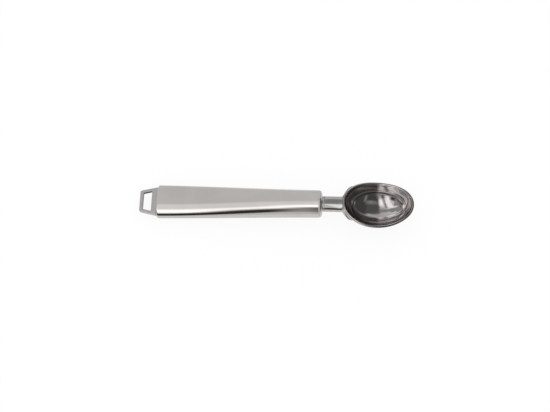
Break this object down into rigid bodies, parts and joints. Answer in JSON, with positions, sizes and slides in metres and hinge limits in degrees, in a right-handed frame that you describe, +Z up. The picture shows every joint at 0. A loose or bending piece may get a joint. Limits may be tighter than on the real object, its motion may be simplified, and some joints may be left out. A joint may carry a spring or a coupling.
{
  "type": "ice cream scoop",
  "caption": "Steel ice cream scoop: long oval bowl held in the yoke of a forged shank, tapering hollow handle flattened at the butt, and a flat hanging loop.",
  "frame": {"origin": "centre of the scoop's outline seen from above, on the table it lies on", "axes": "+X from the hanging loop to the tip of the bowl, +Y across the tool, +Z up, with the bowl's mouth facing up"},
  "size_m": [0.2341, 0.0412, 0.0272],
  "materials": {
    "bowl_steel": "mirror-polished stainless steel",
    "shank_steel": "polished forged stainless steel",
    "front_cap_steel": "satin stamped stainless steel",
    "tube_steel": "satin stainless steel, brushed along the handle",
    "bush_steel": "plain machined steel, hidden inside the handle",
    "end_cap_steel": "satin stamped stainless steel",
    "loop_steel": "satin stainless steel"
  },
  "bodies": {
    "root": {"bowl": "bowl_steel", "shank": "shank_steel", "front_cap": "front_cap_steel", "handle_tube": "tube_steel", "tang_bush": "bush_steel", "end_cap": "end_cap_steel", "hanging_loop": "loop_steel"}
  },
  "joints": []
}
